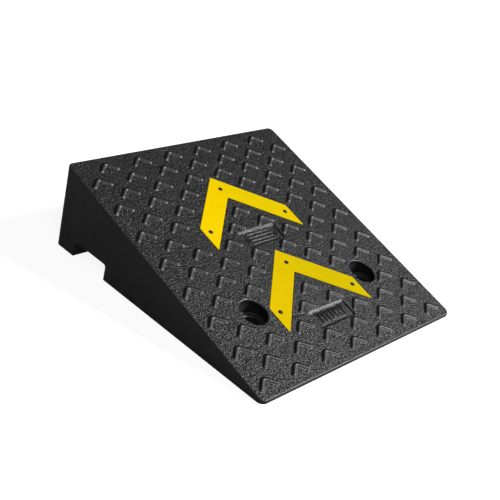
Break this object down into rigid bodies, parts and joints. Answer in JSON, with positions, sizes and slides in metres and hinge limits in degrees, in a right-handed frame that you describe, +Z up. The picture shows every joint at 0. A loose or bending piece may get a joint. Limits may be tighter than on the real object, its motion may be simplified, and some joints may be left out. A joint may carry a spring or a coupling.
{
  "type": "kerb ramp",
  "caption": "Moulded rubber kerb ramp: a wedge with an arrow-ribbed tread, riveted yellow chevron plates, counterbored fixing holes and a cable channel under its rear.",
  "frame": {"origin": "middle of the base, on the ground", "axes": "+X across the ramp, +Y from the thin front lip towards the kerb, +Z up"},
  "size_m": [0.5, 0.5, 0.1493],
  "materials": {
    "black_rubber": "fine moulded grain, matt",
    "yellow_plate": "smooth, satin",
    "dark_rivet": "blackened, worn bright at the crown",
    "washer_steel": "dull zinc"
  },
  "bodies": {
    "root": {"ramp_body": "black_rubber", "rear_chevron": "yellow_plate", "front_chevron": "yellow_plate", "rear_chevron_rivet_apex": "dark_rivet", "rear_chevron_rivet_left": "dark_rivet", "rear_chevron_rivet_right": "dark_rivet", "front_chevron_rivet_apex": "dark_rivet", "front_chevron_rivet_left": "dark_rivet", "front_chevron_rivet_right": "dark_rivet", "left_fixing_washer": "washer_steel", "right_fixing_washer": "washer_steel"}
  },
  "joints": []
}
